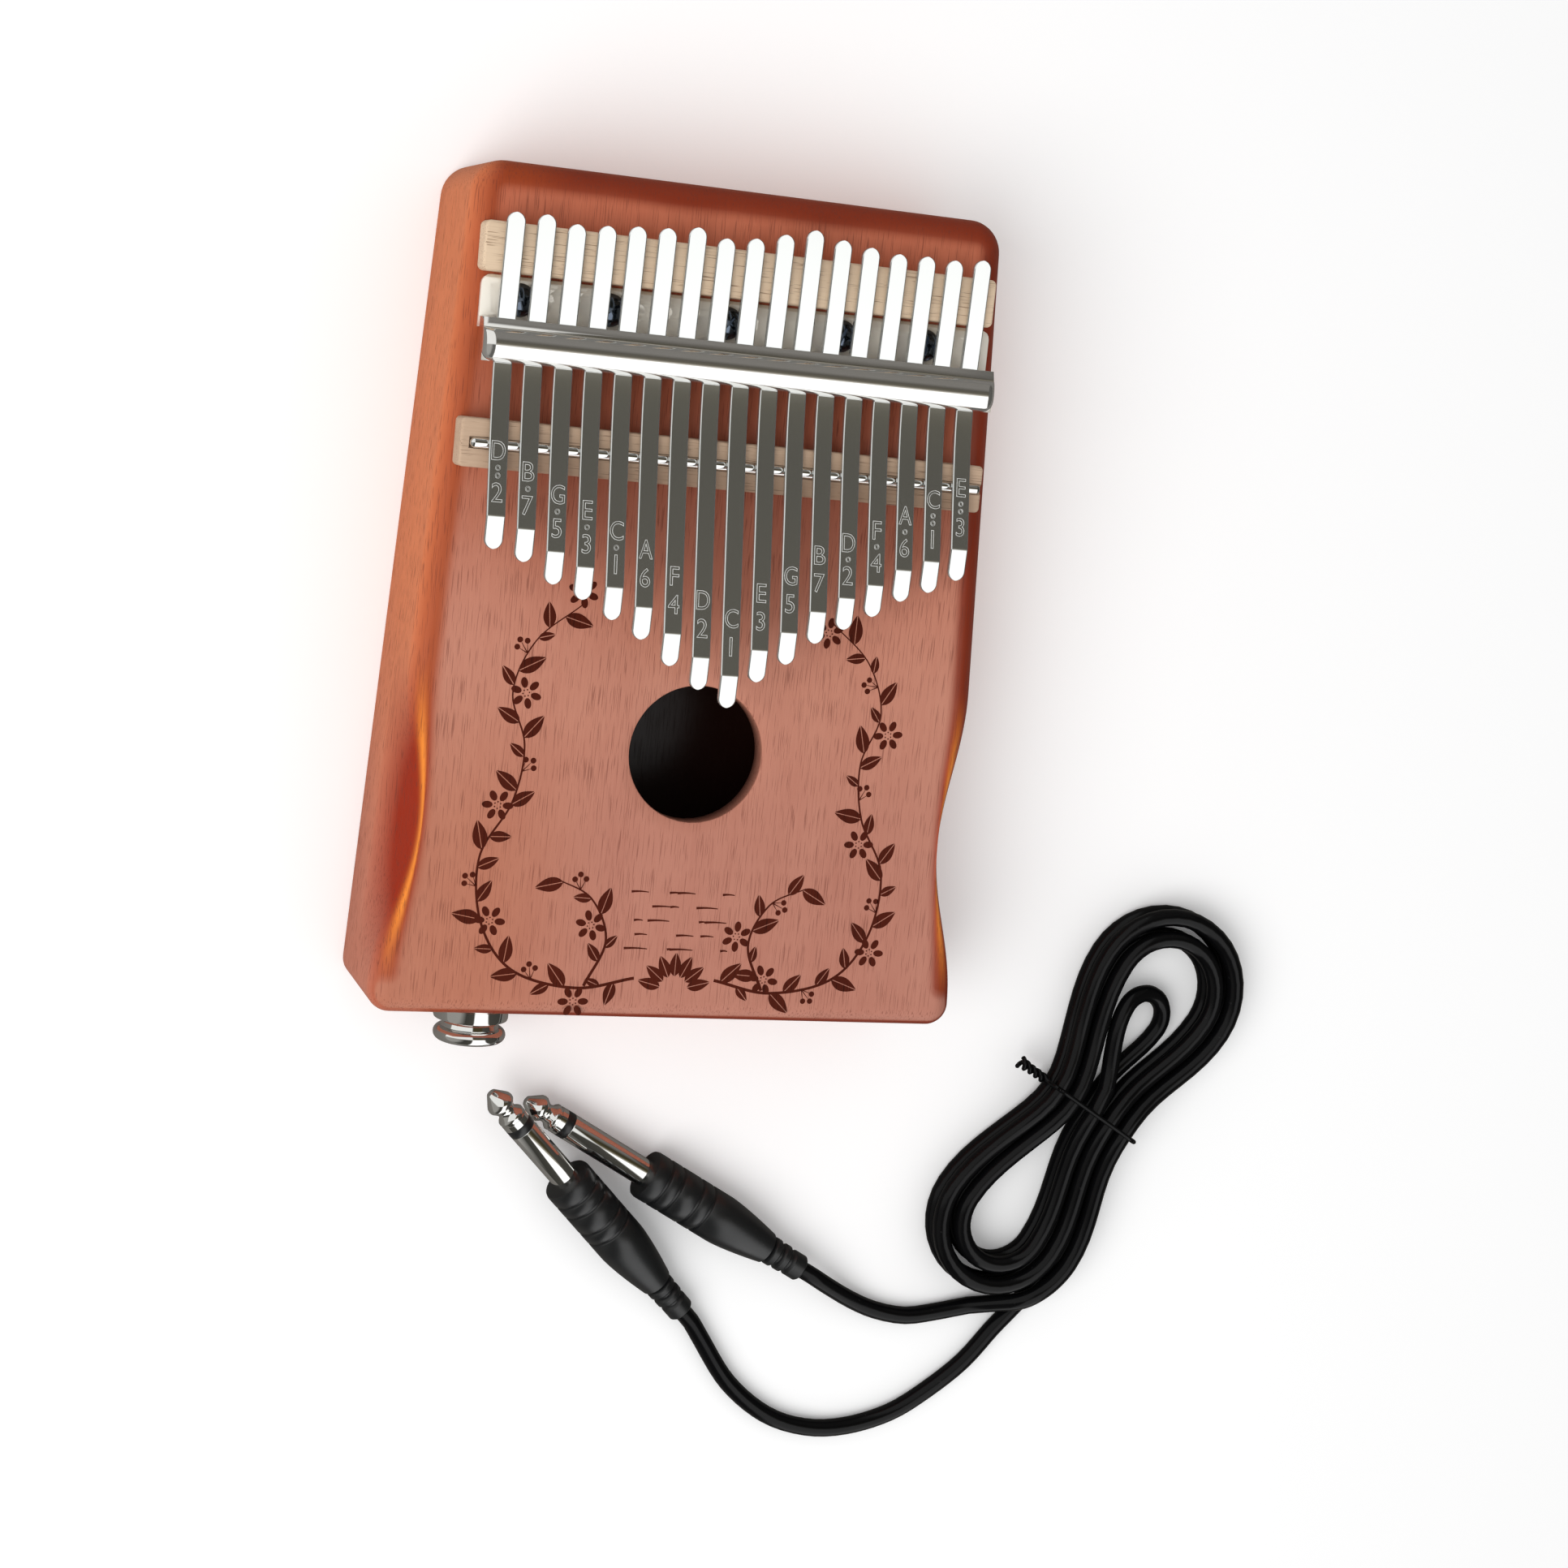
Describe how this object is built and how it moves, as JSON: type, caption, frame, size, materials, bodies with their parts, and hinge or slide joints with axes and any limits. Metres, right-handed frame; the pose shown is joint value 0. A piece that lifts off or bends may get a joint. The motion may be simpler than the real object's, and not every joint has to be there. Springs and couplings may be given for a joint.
{
  "type": "mbira",
  "caption": "Thumb piano: bent steel tines clamped over two wooden bridges on a hollow tapered box with sound hole, hand rests, end-pin jack and a tied instrument lead.",
  "frame": {"origin": "middle of the flat back face that the instrument rests on", "axes": "+X to the right of the face seen with the rear bridge at the top, +Y towards the rear bridge, +Z out of the face"},
  "size_m": [0.2191, 0.2859, 0.0529],
  "materials": {
    "mahogany": "satin",
    "block_wood": "raw",
    "beech": "raw",
    "chrome": "polished",
    "tine_steel": "polished",
    "brass": "plain",
    "piezo_ceramic": "matte",
    "black_plastic": "satin",
    "black_rubber": "satin"
  },
  "bodies": {
    "body": {"body_shell": "mahogany", "back_panel": "mahogany", "bridge_block": "block_wood", "rear_bridge": "beech", "front_bridge": "beech", "bridge_rod": "chrome", "pressure_bracket": "chrome", "jack_barrel": "chrome", "jack_collar": "chrome", "jack_cap": "chrome", "jack_washer": "chrome", "jack_nut": "chrome", "jack_insulator": "black_plastic", "jack_contact": "brass", "piezo_plate": "brass", "piezo_disc": "piezo_ceramic", "pickup_wire": "black_rubber", "bracket_screw_1": "chrome", "bracket_screw_2": "chrome", "bracket_screw_3": "chrome", "bracket_screw_4": "chrome", "bracket_screw_5": "chrome"},
    "tine_01": {"tine_01": "tine_steel"},
    "tine_02": {"tine_02": "tine_steel"},
    "tine_03": {"tine_03": "tine_steel"},
    "tine_04": {"tine_04": "tine_steel"},
    "tine_05": {"tine_05": "tine_steel"},
    "tine_06": {"tine_06": "tine_steel"},
    "tine_07": {"tine_07": "tine_steel"},
    "tine_08": {"tine_08": "tine_steel"},
    "tine_09": {"tine_09": "tine_steel"},
    "tine_10": {"tine_10": "tine_steel"},
    "tine_11": {"tine_11": "tine_steel"},
    "tine_12": {"tine_12": "tine_steel"},
    "tine_13": {"tine_13": "tine_steel"},
    "tine_14": {"tine_14": "tine_steel"},
    "tine_15": {"tine_15": "tine_steel"},
    "tine_16": {"tine_16": "tine_steel"},
    "tine_17": {"tine_17": "tine_steel"},
    "lead": {"plug_a_tip": "chrome", "plug_a_insulator": "black_plastic", "plug_a_sleeve": "chrome", "plug_a_grip": "black_plastic", "plug_a_relief": "black_rubber", "plug_b_tip": "chrome", "plug_b_insulator": "black_plastic", "plug_b_sleeve": "chrome", "plug_b_grip": "black_plastic", "plug_b_relief": "black_rubber", "cable_stretch_a": "black_rubber", "cable_hank": "black_rubber", "cable_stretch_b": "black_rubber", "twist_tie": "black_plastic"}
  },
  "joints": [
    {"name": "tine_01_flex", "type": "hinge", "parent": "body", "child": "tine_01", "pos_m": [0, 0.0317, 0.041], "axis": [1, 0, 0], "range_deg": [-0.3, 1.1], "stiffness_Nm_per_rad": 0.2},
    {"name": "tine_02_flex", "type": "hinge", "parent": "body", "child": "tine_02", "pos_m": [0, 0.0317, 0.041], "axis": [1, 0, 0], "range_deg": [-0.3, 1.1], "stiffness_Nm_per_rad": 0.2},
    {"name": "tine_03_flex", "type": "hinge", "parent": "body", "child": "tine_03", "pos_m": [0, 0.0317, 0.041], "axis": [1, 0, 0], "range_deg": [-0.3, 1.1], "stiffness_Nm_per_rad": 0.2},
    {"name": "tine_04_flex", "type": "hinge", "parent": "body", "child": "tine_04", "pos_m": [0, 0.0317, 0.041], "axis": [1, 0, 0], "range_deg": [-0.3, 1.1], "stiffness_Nm_per_rad": 0.2},
    {"name": "tine_05_flex", "type": "hinge", "parent": "body", "child": "tine_05", "pos_m": [0, 0.0317, 0.041], "axis": [1, 0, 0], "range_deg": [-0.3, 1.1], "stiffness_Nm_per_rad": 0.2},
    {"name": "tine_06_flex", "type": "hinge", "parent": "body", "child": "tine_06", "pos_m": [0, 0.0317, 0.041], "axis": [1, 0, 0], "range_deg": [-0.3, 1.1], "stiffness_Nm_per_rad": 0.2},
    {"name": "tine_07_flex", "type": "hinge", "parent": "body", "child": "tine_07", "pos_m": [0, 0.0317, 0.041], "axis": [1, 0, 0], "range_deg": [-0.3, 1.1], "stiffness_Nm_per_rad": 0.2},
    {"name": "tine_08_flex", "type": "hinge", "parent": "body", "child": "tine_08", "pos_m": [0, 0.0317, 0.041], "axis": [1, 0, 0], "range_deg": [-0.3, 1.1], "stiffness_Nm_per_rad": 0.2},
    {"name": "tine_09_flex", "type": "hinge", "parent": "body", "child": "tine_09", "pos_m": [0, 0.0317, 0.041], "axis": [1, 0, 0], "range_deg": [-0.3, 1.1], "stiffness_Nm_per_rad": 0.2},
    {"name": "tine_10_flex", "type": "hinge", "parent": "body", "child": "tine_10", "pos_m": [0, 0.0317, 0.041], "axis": [1, 0, 0], "range_deg": [-0.3, 1.1], "stiffness_Nm_per_rad": 0.2},
    {"name": "tine_11_flex", "type": "hinge", "parent": "body", "child": "tine_11", "pos_m": [0, 0.0317, 0.041], "axis": [1, 0, 0], "range_deg": [-0.3, 1.1], "stiffness_Nm_per_rad": 0.2},
    {"name": "tine_12_flex", "type": "hinge", "parent": "body", "child": "tine_12", "pos_m": [0, 0.0317, 0.041], "axis": [1, 0, 0], "range_deg": [-0.3, 1.1], "stiffness_Nm_per_rad": 0.2},
    {"name": "tine_13_flex", "type": "hinge", "parent": "body", "child": "tine_13", "pos_m": [0, 0.0317, 0.041], "axis": [1, 0, 0], "range_deg": [-0.3, 1.1], "stiffness_Nm_per_rad": 0.2},
    {"name": "tine_14_flex", "type": "hinge", "parent": "body", "child": "tine_14", "pos_m": [0, 0.0317, 0.041], "axis": [1, 0, 0], "range_deg": [-0.3, 1.1], "stiffness_Nm_per_rad": 0.2},
    {"name": "tine_15_flex", "type": "hinge", "parent": "body", "child": "tine_15", "pos_m": [0, 0.0317, 0.041], "axis": [1, 0, 0], "range_deg": [-0.3, 1.1], "stiffness_Nm_per_rad": 0.2},
    {"name": "tine_16_flex", "type": "hinge", "parent": "body", "child": "tine_16", "pos_m": [0, 0.0317, 0.041], "axis": [1, 0, 0], "range_deg": [-0.3, 1.1], "stiffness_Nm_per_rad": 0.2},
    {"name": "tine_17_flex", "type": "hinge", "parent": "body", "child": "tine_17", "pos_m": [0, 0.0317, 0.041], "axis": [1, 0, 0], "range_deg": [-0.3, 1.1], "stiffness_Nm_per_rad": 0.2},
    {"name": "lead_lift", "type": "slide", "parent": "body", "child": "lead", "axis": [0, 0, 1], "range_m": [0, 0.12]}
  ]
}
